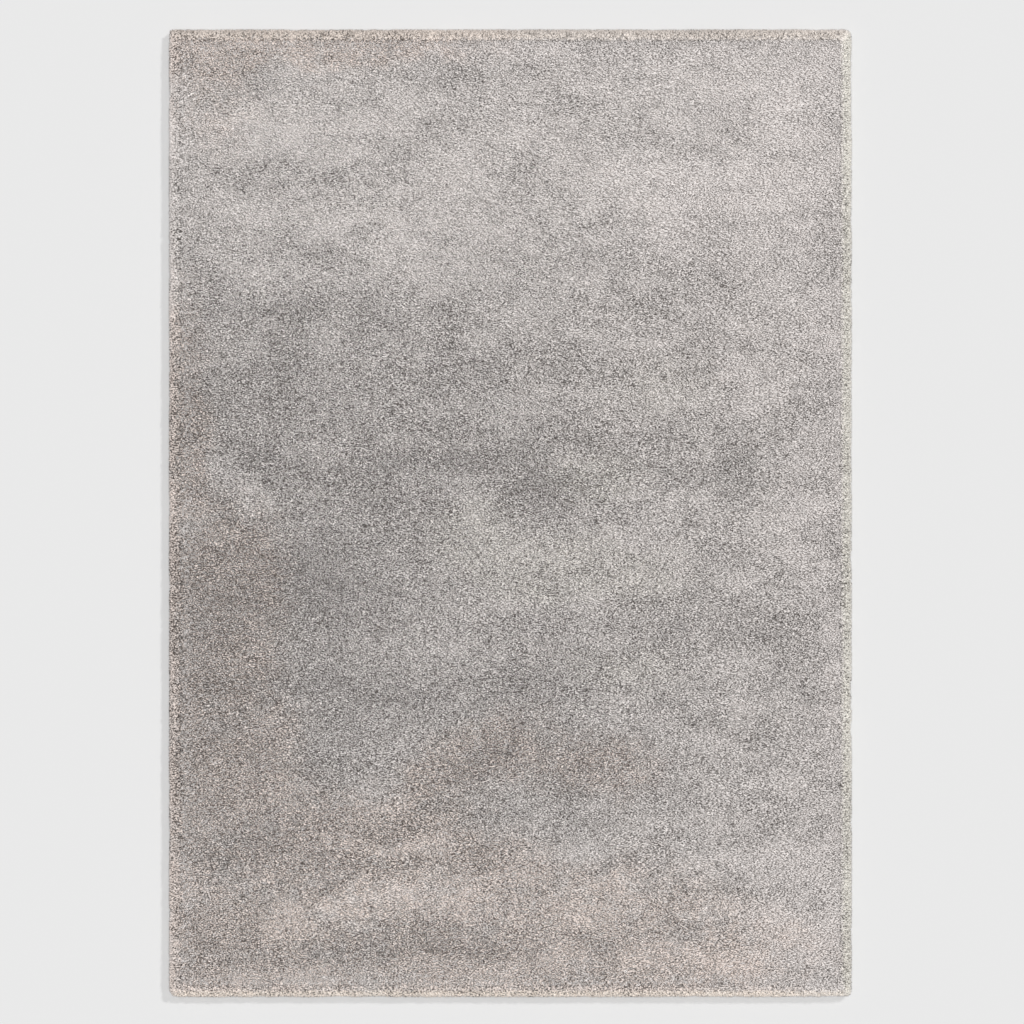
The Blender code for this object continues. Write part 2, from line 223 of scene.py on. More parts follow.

# Painted light and shade of the pile's lay, where it stands lighter or darker: ovals of these half sizes,
# turned in degrees.
OVAL_POWER = 1.3  # how steeply an oval ends
SHADE_SHARE = 0.70  # how much of the tones below shows
Shade = namedtuple("Shade", "x y half_long half_short turn tone")
SHADES = (
    # spots
    Shade(0.46, 0.72, 0.20, 0.12, 0, -0.03),
    Shade(0.50, 0.00, 0.10, 0.30, 0, -0.04),
    Shade(0.30, -0.17, 0.08, 0.06, 0, -0.05),
    Shade(0.12, 0.66, 0.09, 0.06, 0, -0.08),
    Shade(0.26, 0.70, 0.05, 0.04, 0, 0.06),
    Shade(-0.28, 0.80, 0.10, 0.05, 0, -0.08),
    Shade(0.40, 0.80, 0.10, 0.05, 0, -0.08),
    Shade(-0.15, 0.60, 0.06, 0.05, 0, -0.09),
    Shade(-0.25, 0.50, 0.06, 0.05, 0, 0.08),
    Shade(-0.12, 0.20, 0.09, 0.05, 0, -0.08),
    Shade(0.25, 0.20, 0.06, 0.05, 0, 0.09),
    Shade(-0.05, 0.10, 0.05, 0.05, 0, 0.09),
    Shade(-0.57, 0.00, 0.05, 0.05, 0, 0.12),
    Shade(-0.57, 0.12, 0.05, 0.05, 0, -0.08),
    Shade(0.22, 0.00, 0.08, 0.05, 0, 0.08),
    Shade(0.25, -0.20, 0.06, 0.05, 0, -0.09),
    Shade(-0.48, -0.20, 0.09, 0.05, 0, -0.08),
    Shade(0.47, -0.30, 0.08, 0.05, 0, -0.07),
    Shade(-0.45, -0.60, 0.14, 0.06, 0, -0.09),
    Shade(0.12, -0.70, 0.12, 0.05, 0, 0.08),
    Shade(0.50, -0.52, 0.08, 0.06, 0, -0.06),
    Shade(0.05, -0.50, 0.05, 0.05, 0, 0.06),
    # broad
    Shade(0.10, 0.72, 0.90, 0.30, 0, 0.155),
    Shade(0.62, 0.05, 1.20, 0.27, 90, 0.12),
    Shade(-0.50, -0.24, 0.42, 0.28, 90, -0.16),
    Shade(-0.42, 0.20, 0.25, 0.25, 0, -0.08),
    Shade(0.00, 0.08, 0.25, 0.12, 0, -0.09),
    Shade(0.00, -0.42, 0.25, 0.18, 0, -0.08),
    Shade(0.45, -0.72, 0.20, 0.14, 0, 0.06),
    # light
    Shade(-0.33, 0.535, 0.24, 0.038, 2, 0.11),
    Shade(-0.45, 0.675, 0.16, 0.035, 0, 0.10),
    Shade(-0.12, 0.62, 0.12, 0.030, 0, 0.04),
    Shade(0.26, 0.57, 0.13, 0.060, 0, 0.06),
    Shade(0.44, 0.59, 0.09, 0.110, 90, 0.05),
    Shade(0.42, 0.76, 0.18, 0.055, 0, 0.06),
    Shade(-0.47, 0.045, 0.08, 0.035, -40, 0.22),
    Shade(-0.33, 0.030, 0.04, 0.022, 0, 0.12),
    Shade(-0.50, 0.430, 0.08, 0.050, 0, 0.08),
    Shade(-0.20, 0.200, 0.12, 0.030, 0, 0.06),
    Shade(-0.12, 0.450, 0.14, 0.060, 0, 0.05),
    Shade(0.10, 0.090, 0.08, 0.022, 0, 0.14),
    Shade(-0.06, -0.005, 0.05, 0.022, 90, 0.13),
    Shade(-0.25, -0.585, 0.12, 0.016, 0, 0.12),
    Shade(0.10, -0.60, 0.05, 0.016, 0, 0.08),
    Shade(0.23, -0.07, 0.09, 0.035, 0, 0.06),
    Shade(0.04, -0.08, 0.12, 0.050, 0, 0.04),
    Shade(-0.21, -0.47, 0.07, 0.050, 0, 0.08),
    Shade(-0.16, -0.68, 0.16, 0.030, 0, 0.07),
    Shade(-0.36, -0.72, 0.12, 0.030, 0, 0.11),
    Shade(0.35, -0.45, 0.08, 0.060, 0, 0.04),
    Shade(-0.23, 0.145, 0.09, 0.018, 0, 0.06),
    Shade(0.02, 0.66, 0.14, 0.012, 90, 0.03),
    # dark
    Shade(-0.27, -0.635, 0.06, 0.020, 15, -0.15),
    Shade(-0.10, -0.620, 0.06, 0.020, 0, -0.05),
    Shade(-0.31, -0.775, 0.07, 0.024, 0, -0.12),
    Shade(-0.12, -0.765, 0.12, 0.020, 0, -0.08),
    Shade(0.40, 0.070, 0.06, 0.030, 0, -0.06),
    Shade(0.47, -0.200, 0.09, 0.020, -5, -0.08),
    Shade(0.42, -0.440, 0.06, 0.030, 90, -0.07),
    Shade(0.53, -0.300, 0.10, 0.030, 90, -0.05),
    Shade(0.01, -0.200, 0.05, 0.030, 0, -0.08),
    Shade(0.35, 0.430, 0.10, 0.030, 90, -0.05),
    Shade(0.57, 0.480, 0.08, 0.030, 90, -0.08),
    Shade(-0.38, -0.12, 0.20, 0.070, -6, -0.13),
    Shade(-0.53, -0.30, 0.22, 0.050, 90, -0.06),
    Shade(0.03, 0.030, 0.07, 0.050, 30, -0.17),
    Shade(-0.11, 0.095, 0.14, 0.020, 0, -0.15),
    Shade(-0.25, 0.03, 0.07, 0.055, 0, -0.12),
    Shade(-0.44, 0.10, 0.035, 0.022, 0, -0.14),
    Shade(0.39, 0.11, 0.07, 0.025, 100, -0.13),
    Shade(0.29, 0.06, 0.07, 0.030, 0, -0.08),
    Shade(-0.12, 0.29, 0.09, 0.022, 90, -0.15),
    Shade(-0.06, 0.24, 0.06, 0.035, 0, -0.08),
    Shade(-0.39, 0.29, 0.07, 0.035, 60, -0.11),
    Shade(-0.25, 0.35, 0.04, 0.030, 90, -0.10),
    Shade(-0.37, 0.36, 0.05, 0.025, 0, -0.10),
    Shade(-0.57, 0.27, 0.12, 0.035, 90, -0.10),
    Shade(-0.10, 0.77, 0.06, 0.025, 10, -0.14),
    Shade(-0.45, 0.60, 0.09, 0.030, 0, -0.08),
    Shade(-0.50, 0.78, 0.09, 0.040, 0, -0.08),
    Shade(-0.08, 0.67, 0.06, 0.025, 10, -0.06),
    Shade(0.07, 0.28, 0.04, 0.025, 0, -0.08),
    Shade(0.23, 0.37, 0.04, 0.025, 0, -0.07),
    Shade(0.17, 0.13, 0.12, 0.030, 0, -0.06),
    Shade(-0.32, -0.315, 0.20, 0.020, -4, -0.14),
    Shade(-0.03, -0.43, 0.10, 0.030, 24, -0.19),
    Shade(0.12, -0.45, 0.07, 0.045, 60, -0.13),
    Shade(0.08, -0.30, 0.16, 0.050, 0, -0.06),
    Shade(-0.18, -0.54, 0.14, 0.020, 25, -0.10),
    Shade(-0.06, -0.59, 0.05, 0.025, -20, -0.14),
    Shade(-0.34, -0.59, 0.06, 0.020, -30, -0.09),
    Shade(-0.07, -0.755, 0.30, 0.024, 0, -0.16),
    Shade(0.15, -0.775, 0.05, 0.020, -20, -0.11),
    Shade(-0.50, -0.73, 0.06, 0.030, 0, -0.08),
    Shade(0.43, -0.22, 0.13, 0.022, -6, -0.11),
    Shade(0.52, -0.28, 0.10, 0.030, 90, -0.06),
    Shade(0.32, -0.11, 0.07, 0.025, 95, -0.10),
    Shade(0.32, -0.25, 0.06, 0.025, 0, -0.10),
    Shade(0.31, -0.36, 0.05, 0.020, 0, -0.08),
    Shade(0.22, -0.62, 0.07, 0.020, 0, -0.07),
    Shade(0.55, 0.20, 0.05, 0.020, 90, -0.06),
)

# Smooth random light and dark on top, of these sizes along the rug and as many times that across it.
Mottle = namedtuple("Mottle", "size stretch share")
MOTTLES = (
    Mottle(0.060, 2.5, 0.034),
    Mottle(0.030, 2.2, 0.053),
    Mottle(0.015, 1.6, 0.048),
    Mottle(0.008, 1.3, 0.028),
)
WARPS = ((0.090, 0.016), (0.030, 0.012), (0.012, 0.007))  # how far noise of each size bends the ovals
TONE_STRAY = 0.12  # of the tufts' own tones, at a middle tone
TONE_STRAY_MEAN = 1.02
TONE_STRAY_LIMITS = (0.45, 1.20)
GRAIN = 5.7  # contrast of the flecks of light and dark in the yarn, at a middle tone
GRAIN_IN_LIGHT = 8.0  # the power of the tone by which it is less where the pile is light

# Each side of the rim, by the way it faces: how much lighter or darker its tufts are, which is painted light
# and shade, how warm and how cream those in its band are, the cream being a painted highlight, how wide the
# band is, and how far inside the outline its tips end, evenly and in waves.
RimSide = namedtuple("RimSide", "across along tone warm cream band inset wave")
RIM_SIDES = (
    RimSide(1, 0, -0.22, 0.0, 0.65, 0.016, 0.0000, 0.0042),
    RimSide(0, 1, -0.30, 0.6, 0.25, 0.019, 0.0004, 0.0032),
    RimSide(-1, 0, 0.12, 0.1, 0.0, 0.010, 0.0000, 0.0030),
    RimSide(0, -1, 0.38, 0.5, 0.40, 0.010, 0.0000, 0.0036),
)

# Where the yarn looks warmer, or more like cream: ovals again.
Tint = namedtuple("Tint", "x y half_long half_short turn share")
WARMTHS = (
    Tint(-0.38, 0.83, 0.34, 0.05, 0, 0.9),
    Tint(-0.52, 0.74, 0.12, 0.08, 90, 0.4),
    Tint(-0.59, 0.04, 0.30, 0.06, 90, 1.0),
    Tint(-0.52, -0.12, 0.12, 0.14, 0, 0.7),
    Tint(-0.54, -0.52, 0.42, 0.15, 90, 1.0),
    Tint(-0.55, -0.80, 0.14, 0.10, 0, 0.8),
    Tint(-0.28, -0.62, 0.26, 0.12, 0, 0.9),
    Tint(0.00, -0.74, 0.42, 0.12, 0, 0.9),
    Tint(0.38, -0.80, 0.22, 0.08, 0, 0.3),
    Tint(-0.06, -0.42, 0.14, 0.06, 20, 0.8),
    Tint(0.16, -0.45, 0.10, 0.06, 0, 0.6),
    Tint(0.30, -0.60, 0.12, 0.07, 0, 0.1),
)
CREAMS = (
    Tint(0.14, 0.06, 0.10, 0.05, 0, 0.7),
    Tint(-0.08, -0.04, 0.08, 0.07, 0, 0.8),
    Tint(0.12, -0.10, 0.18, 0.06, 0, 0.8),
    Tint(0.26, 0.22, 0.12, 0.07, 0, 0.5),
    Tint(0.20, -0.27, 0.12, 0.05, 0, 0.5),
)
TINT_STEEP = 1.6  # how fast the tint grows with what its ovals add up to,
TINT_START = 0.1  # and how much of it is taken off
CREAM_SHARE = 0.25  # how much of the cream above shows
HUE_SHARES = (0.5, 0.4)  # of the fine and the wide noise in the warmth
HUE_SPREAD = 0.10  # how much of that noise shows everywhere
WARM_STRAY = 0.03
WARM_MOST = 1.5

# The other smooth noises, by what follows them, with sizes as above.
Field = namedtuple("Field", "follows size stretch")
FIELDS = (
    Field("turn_wide", 0.160, 1.0),
    Field("turn_close", 0.035, 1.0),
    Field("lean", 0.050, 1.0),
    Field("hue", 0.014, 1.0),
    Field("hue_wide", 0.060, 1.5),
    Field("rim_wave", 0.045, 1.0),
    Field("rim_ripple", 0.012, 1.0),
)


# ---------------------------------------------------------------------------------------------
# Helpers.
# ---------------------------------------------------------------------------------------------
def ease(share):
    """A share from 0 to 1, with a smooth start and end."""
    share = np.clip(share, 0, 1)
    return share * share * (3 - 2 * share)


def between(values, i, j, s, t):
    """A net's values at shares s, t of the way from its points i, j to the next ones."""
    low = values[i, j] * (1 - s) + values[i + 1, j] * s
    high = values[i, j + 1] * (1 - s) + values[i + 1, j + 1] * s
    return low * (1 - t) + high * t


def noise(rng, x, y, size):
    """Smooth random values from -1 to 1 at places x, y, which change over about size."""
    values = rng.uniform(-1, 1, (int(np.ptp(x) / size) + 4, int(np.ptp(y) / size) + 4))
    u, v = (x - x.min()) / size + 1, (y - y.min()) / size + 1
    i, j = u.astype(int), v.astype(int)
    return between(values, i, j, ease(u - i), ease(v - j))


def in_oval(x, y, oval):
    """1 in the middle of a turned oval, falling smoothly to 0 outside it."""
    turn = math.radians(oval.turn)
    long = ((x - oval.x) * math.cos(turn) + (y - oval.y) * math.sin(turn)) / oval.half_long
    short = ((y - oval.y) * math.cos(turn) - (x - oval.x) * math.sin(turn)) / oval.half_short
    return np.exp(-((long * long + short * short) ** OVAL_POWER))


def outside_by(x, y):
    """How far places lie outside the rug's outline, a rectangle with a radius of its own at each corner."""
    radius = np.empty_like(x)
    for corner in CORNERS:
        radius[(corner.right * x >= 0) & (corner.back * y >= 0)] = corner.radius
    over_x = np.abs(x) - (HALF_WIDTH - radius)
    over_y = np.abs(y) - (HALF_LENGTH - radius)
    inside = np.minimum(np.maximum(over_x, over_y), 0)
    return np.hypot(np.maximum(over_x, 0), np.maximum(over_y, 0)) + inside - radius


def outward(x, y):
    """Unit direction straight out over the nearest edge, smooth round the corners."""
    across = np.exp((np.abs(x) - HALF_WIDTH) / CORNER_SOFT)
    along = np.exp((np.abs(y) - HALF_LENGTH) / CORNER_SOFT)
    size = np.hypot(across, along)
    return np.sign(x) * across / size, np.sign(y) * along / size


def pulled_in(x, y, inset):
    """Places moved in, where need be, to lie at least inset inside the outline."""
    for _ in range(PULL_ROUNDS):
        over = np.maximum(outside_by(x, y) + inset, 0)
        out_x, out_y = outward(x, y)
        x, y = x - over * out_x, y - over * out_y
    return x, y


def cad_height_field():
    """A function that gives the height of the solid's top at places x, y."""
    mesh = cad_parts[NODE].data
    mesh.calc_loop_triangles()
    tree = BVHTree.FromPolygons(
        [v.co for v in mesh.vertices], [t.vertices for t in mesh.loop_triangles]
    )
    xs = np.arange(-HALF_WIDTH, HALF_WIDTH + HEIGHTS_STEP, HEIGHTS_STEP)
    ys = np.arange(-HALF_LENGTH, HALF_LENGTH + HEIGHTS_STEP, HEIGHTS_STEP)
    heights = np.zeros((len(xs), len(ys)))
    down = Vector((0, 0, -1))
    for i, x in enumerate(xs):
        for j, y in enumerate(ys):
            spot = tree.ray_cast(Vector((x, y, RAY_START)), down)[0]
            heights[i, j] = spot.z if spot else 0.0
    past_last = 1.001  # a little more than one cell, so that each place has a next point

    def height(x, y):
        u = np.clip((x - xs[0]) / HEIGHTS_STEP, 0, len(xs) - past_last)
        v = np.clip((y - ys[0]) / HEIGHTS_STEP, 0, len(ys) - past_last)
        i, j = u.astype(int), v.astype(int)
        return between(heights, i, j, u - i, v - j)

    return height


def new_piece(name, points, faces, material):
    """A piece of the rug from arrays of points and of equal-sized faces, or a list of faces."""
    mesh = bpy.data.meshes.new(name)
    if isinstance(faces, np.ndarray):
        mesh.vertices.add(len(points))
        mesh.vertices.foreach_set("co", points.astype(np.float32).ravel())
        mesh.loops.add(faces.size)
        mesh.loops.foreach_set("vertex_index", faces.astype(np.int32).ravel())
        mesh.polygons.add(len(faces))
        starts = np.arange(0, faces.size, faces.shape[1], dtype=np.int32)
        mesh.polygons.foreach_set("loop_start", starts)
        mesh.update(calc_edges=True)
    else:
        mesh.from_pydata([tuple(p) for p in points], [], faces)
    mesh.shade_smooth()
    mesh.materials.append(material)
    piece = bpy.data.objects.new(name, mesh)
    bpy.context.scene.collection.objects.link(piece)
    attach(piece, "root")
    return piece


def set_attribute(piece, name, values):
    attribute = piece.data.attributes.new(name, "FLOAT", "POINT")
    attribute.data.foreach_set("value", np.asarray(values, np.float32))


# ---------------------------------------------------------------------------------------------
# Materials.
# ---------------------------------------------------------------------------------------------
def add(tree, kind, **settings):
    """A new shader node of this kind."""
    node = tree.nodes.new("ShaderNode" + kind)
    for name, value in settings.items():
        setattr(node, name, value)
    return node


def attribute_value(tree, name):
    return add(tree, "Attribute", attribute_name=name).outputs["Fac"]


def math_node(tree, operation, first, second):
    node = add(tree, "Math", operation=operation)
    for socket, value in zip(node.inputs, (first, second)):
        if isinstance(value, (int, float)):
            socket.default_value = value
        else:
            tree.links.new(value, socket)
    return node.outputs[0]


def mix_colours(tree, share, first, second, blend="MIX"):
    """The second colour over the first, by its share. Each is a value or another node's output."""
    node = add(tree, "Mix", data_type="RGBA", blend_type=blend)
    sockets = (node.inputs[0], node.inputs[6], node.inputs[7])
    for socket, value in zip(sockets, (share, first, second)):
        if isinstance(value, (int, float)):
            socket.default_value = value
        elif isinstance(value, tuple):
            socket.default_value = (*value, 1.0)
        else:
            tree.links.new(value, socket)
    return node.outputs[2]


def tinted(tree, colour, fact, tint):
    """A colour that takes on a tint as far as the tufts' own fact of that name says."""
    multiplied = mix_colours(tree, 1.0, colour, tint, "MULTIPLY")
    return mix_colours(tree, attribute_value(tree, fact), colour, multiplied)


def fibre_material(name, sheen):
    """A Principled material for cloth and yarn, with its tree."""
    material = bpy.data.materials.new(name)
    material.use_nodes = True
    shader = material.node_tree.nodes["Principled BSDF"]
    shader.inputs["Roughness"].default_value = FIBRE_ROUGHNESS
    shader.inputs["Metallic"].default_value = 0.0
    shader.inputs["Specular IOR Level"].default_value = FIBRE_SPECULAR
    shader.inputs["Sheen Weight"].default_value = sheen
    shader.inputs["Sheen Roughness"].default_value = SHEEN_ROUGHNESS
    return material, material.node_tree, shader


def add_bump(tree, shader, height, distance):
    bump = add(tree, "Bump")
    bump.inputs["Strength"].default_value = 1.0
    bump.inputs["Distance"].default_value = distance
    tree.links.new(height, bump.inputs["Height"])
    tree.links.new(bump.outputs["Normal"], shader.inputs["Normal"])


def noise_value(tree, scale, stretch=(1.0, 1.0, 1.0), detail=1.5):
    """Smooth noise fixed to the rug, with about scale times stretch changes a metre."""
    coordinates = add(tree, "TexCoord")
    mapping = add(tree, "Mapping")
    mapping.inputs["Scale"].default_value = stretch
    texture = add(tree, "TexNoise")
    texture.inputs["Scale"].default_value = scale
    texture.inputs["Detail"].default_value = detail
    tree.links.new(coordinates.outputs["Object"], mapping.inputs["Vector"])
    tree.links.new(mapping.outputs["Vector"], texture.inputs["Vector"])
    return texture.outputs["Fac"]


def streaks(tree):
    """A share near 1 for the single fibres, which run the way the pile lies."""
    fibres = noise_value(tree, FIBRE_SCALE, FIBRE_STRETCH, detail=0.0)
    share = math_node(tree, "MULTIPLY", math_node(tree, "SUBTRACT", fibres, 0.5), FIBRE_SHARE)
    return math_node(tree, "ADD", share, 1.0)


def yarn_material():
    """Pile yarn: darker at its roots, which is painted shade, its own tone and tint on each tuft, with
    painted light and shade in that tone, with flecks and fine fibres.
    """
    material, tree, shader = fibre_material("pile_yarn", YARN_SHEEN)
    colour = mix_colours(tree, attribute_value(tree, "up"), ROOT_SHADE_COLOUR, TIP_COLOUR)
    colour = tinted(tree, colour, "warm", WARM_TINT)
    colour = tinted(tree, colour, "cream", CREAM_TINT)
    flecks = noise_value(tree, FLECK_SCALE, FLECK_STRETCH, detail=0.0)
    fleck = math_node(tree, "SUBTRACT", flecks, 0.5)
    fleck = math_node(tree, "MULTIPLY", fleck, attribute_value(tree, "grain"))
    fleck = math_node(tree, "ADD", math_node(tree, "MINIMUM", fleck, FLECK_MOST), 1.0)
    tone = math_node(tree, "MULTIPLY", attribute_value(tree, "tone"), fleck)
    least, most = YARN_TONES
    tone = math_node(tree, "MAXIMUM", math_node(tree, "MINIMUM", tone, most), least)
    tone = math_node(tree, "MULTIPLY", tone, streaks(tree))
    toned = mix_colours(tree, tone, DARK_COLOUR, colour)
    toned.node.clamp_factor = False
    tree.links.new(toned, shader.inputs["Base Color"])
    add_bump(tree, shader, flecks, YARN_BUMP)
    return material


def roots_material():
    """The dense roots between the tufts."""
    material, tree, shader = fibre_material("pile_roots", DULL_SHEEN)
    grain = noise_value(tree, ROOTS_SCALE, ROOTS_STRETCH)
    steep = add(tree, "MapRange")
    steep.inputs["From Min"].default_value, steep.inputs["From Max"].default_value = ROOTS_STEEP
    tree.links.new(grain, steep.inputs["Value"])
    colour = mix_colours(tree, steep.outputs["Result"], ROOTS_DARK, ROOTS_LIGHT)
    scaled = add(tree, "VectorMath", operation="SCALE")
    tree.links.new(colour, scaled.inputs[0])
    tone = math_node(tree, "MULTIPLY", attribute_value(tree, "tone"), streaks(tree))
    tree.links.new(tone, scaled.inputs["Scale"])
    tree.links.new(scaled.outputs[0], shader.inputs["Base Color"])
    add_bump(tree, shader, grain, ROOTS_BUMP)
    return material


def cloth_material():
    """The plain-woven ground cloth, seen from under the rug."""
    material, tree, shader = fibre_material("ground_weave", DULL_SHEEN)
    coordinates = add(tree, "TexCoord")
    heights = []
    for direction in ("X", "Y"):
        wave = add(tree, "TexWave", wave_type="BANDS", bands_direction=direction)
        wave.inputs["Scale"].default_value = WEAVE_SCALE
        wave.inputs["Distortion"].default_value = WEAVE_DISTORTION
        wave.inputs["Detail"].default_value = WEAVE_DETAIL
        tree.links.new(coordinates.outputs["Object"], wave.inputs["Vector"])
        heights.append(wave.outputs["Fac"])
    weave = math_node(tree, "MULTIPLY", heights[0], heights[1])
    colour = mix_colours(tree, weave, CLOTH_DARK, CLOTH_COLOUR)
    slubs = noise_value(tree, SLUB_SCALE, detail=SLUB_DETAIL)
    colour = mix_colours(tree, math_node(tree, "MULTIPLY", slubs, SLUB_SHARE), colour, SLUB_COLOUR)
    tree.links.new(colour, shader.inputs["Base Color"])
    add_bump(tree, shader, weave, WEAVE_BUMP)
    return material


def floor_material():
    material = bpy.data.materials.new("floor")
    material.use_nodes = True
    shader = material.node_tree.nodes["Principled BSDF"]
    shader.inputs["Base Color"].default_value = (*FLOOR_COLOUR, 1.0)
    shader.inputs["Roughness"].default_value = 1.0
    shader.inputs["Specular IOR Level"].default_value = 0.0
    return material


# ---------------------------------------------------------------------------------------------
# The rug's pieces.
# ---------------------------------------------------------------------------------------------
def net_lines(half, step, near_edge):
    """Even steps from -half to half, but for lines at set distances from both ends."""
    inner = half - near_edge[-1]
    outer = half - np.array(near_edge[:-1])
    even = np.linspace(-inner, inner, int(round(2 * inner / step)) + 1)
    return np.concatenate([-outer, even, outer[::-1]])


def slab(name, inset, step, bottom, top_of, material, near_edge=(0.0,)):
    """A closed slab inside the outline: a smooth net on top, flat walls and one flat face below."""
    half_x, half_y = HALF_WIDTH - inset, HALF_LENGTH - inset
    lines_x, lines_y = (net_lines(half, step, near_edge) for half in (half_x, half_y))
    x, y = (places.ravel() for places in np.meshgrid(lines_x, lines_y, indexing="ij"))
    x, y = pulled_in(x, y, inset + np.minimum(half_x - np.abs(x), half_y - np.abs(y)))
    index = np.arange(len(x)).reshape(len(lines_x), len(lines_y))
    quads = np.stack([index[:-1, :-1], index[1:, :-1], index[1:, 1:], index[:-1, 1:]], -1).reshape(-1, 4)
    edge = np.concatenate([index[:-1, 0], index[-1, :-1], index[:0:-1, -1], index[0, :0:-1]])
    below = len(x) + np.arange(len(edge))
    walls = np.stack([edge, below, np.roll(below, -1), np.roll(edge, -1)], -1)
    upper = np.stack([x, y, top_of(x, y)], -1)
    lower = np.stack([x[edge], y[edge], np.full(len(edge), bottom)], -1)
    points = np.concatenate([upper, lower])
    faces = [tuple(face) for face in (*quads, *walls, below[::-1])]
    piece = new_piece(name, points, faces, material)
    piece.data.polygons.foreach_set("use_smooth", np.arange(len(faces)) < len(quads))
    return piece


def unit(vectors):
    least = 1e-9  # keeps a vector of no length as it is
    return vectors / np.maximum(np.linalg.norm(vectors, axis=1, keepdims=True), least)


def tuft_piece(name, roots, shoulders, tips, halves, facts, material):
    """Tufts as four-faced locks in one mesh: a root, a tip, and a shoulder on each side."""
    count = len(roots)
    points = np.stack([shoulders + halves, shoulders - halves, tips, roots], axis=1).reshape(-1, 3)
    corners = np.array([[0, 1, 2], [1, 0, 3], [0, 2, 3], [1, 3, 2]])
    faces = (4 * np.arange(count)[:, None, None] + corners).reshape(-1, 3)
    piece = new_piece(name, points, faces, material)
    for fact, values in facts.items():
        set_attribute(piece, fact, np.repeat(values, 4))
    # The up share: the darkening towards the root and shoulders is painted shade, with less of it where the
    # pile's tone is lighter.
    up = np.tile([SHOULDER_UP, SHOULDER_UP, 1.0, 0.0], (count, 1))
    up[:, 3] = np.clip(ROOT_SHADE_LIFT_IN_LIGHT * (facts["tone"] - 1), 0, SHOULDER_UP)
    set_attribute(piece, "up", up.ravel())
    add_tuft_map(piece, count)
    return piece


def add_tuft_map(piece, count):
    """A UV map with a small square cell for each tuft, which its four faces share out."""
    cells = math.ceil(math.sqrt(count))
    column, row = np.arange(count) % cells, np.arange(count) // cells
    low, middle, high = 0.08, 0.5, 0.92  # places in the cell, clear of its neighbours
    corner_u = np.array([low, high, middle, high, high, middle, high, low, middle, low, low, middle])
    corner_v = np.array([low, low, middle, low, high, middle, high, high, middle, high, low, middle])
    u = (column[:, None] + corner_u) / cells
    v = (row[:, None] + corner_v) / cells
    layer = piece.data.uv_layers.new(name="OFBake")
    layer.data.foreach_set("uv", np.stack([u, v], -1).astype(np.float32).ravel())


def tuft_pieces(name, roots, tips, widths, facts, rng, material):
    """Tufts in as many pieces as they need, each a band across the rug."""
    way = tips - roots
    shoulders = roots + way * (SHOULDER_RUN, SHOULDER_RUN, SHOULDER_RISE)
    shoulders[:, 2] = np.maximum(shoulders[:, 2], LEAST_HEIGHT + widths / 2)
    upward = np.full(len(way), 1e-6)  # hardly any, so that a tuft that stands straight up has a width too
    level = unit(np.stack([-way[:, 1], way[:, 0], upward], -1))
    roll = np.radians(rng.normal(0, ROLL_STRAY_DEG, len(way)))[:, None]
    halves = level * np.cos(roll) + unit(np.cross(unit(way), level)) * np.sin(roll)
    halves *= widths[:, None] / 2
    order = np.argsort(roots[:, 1], kind="stable")
    bands = np.array_split(order, math.ceil(len(order) / TUFTS_A_PIECE))
    pieces = []
    for number, band in enumerate(bands, 1):
        band_facts = {fact: values[band] for fact, values in facts.items()}
        parts = (roots[band], shoulders[band], tips[band], halves[band])
        pieces.append(tuft_piece(f"{name}_{number}", *parts, band_facts, material))
    return pieces


def shades_at(x, y):
    """The pile's tone at places x, y, with painted light and shade of its lay: 1 where no oval makes it
    lighter or darker.
    """
    tone = np.ones_like(x)
    for shade in SHADES:
        tone += SHADE_SHARE * shade.tone * in_oval(x, y, shade)
    return tone


def tint_at(x, y, ovals):
    """How much of a tint the yarn has: full well inside its ovals, and none well outside."""
    amount = sum(oval.share * in_oval(x, y, oval) for oval in ovals)
    return ease(TINT_STEEP * amount - TINT_START)


def at_rim(x, y, column):
    """A column of RIM_SIDES at places near the rim: each side's own value, smooth round the corners."""
    out_x, out_y = outward(x, y)
    facing = (np.maximum(out_x * side.across + out_y * side.along, 0) ** 2 for side in RIM_SIDES)
    return sum(share * getattr(side, column) for share, side in zip(facing, RIM_SIDES))


def rim_inset(x, y, fields, rng):
    """How far inside the outline the outermost tips end."""
    even, wide, fine = RIM_WAVE_SHARES
    wave = even + wide * fields["rim_wave"](x, y) + fine * fields["rim_ripple"](x, y)
    wave = at_rim(x, y, "wave") * np.clip(wave, 0, 1)
    return at_rim(x, y, "inset") + wave + rng.uniform(0, RIM_JITTER, len(x))


def kept_inside(tip_x, tip_y, inset, out_x, out_y):
    """Tips moved back, where need be, to end inset inside the outline."""
    over = np.maximum(outside_by(tip_x, tip_y) + inset, 0)
    return tip_x - over * out_x, tip_y - over * out_y


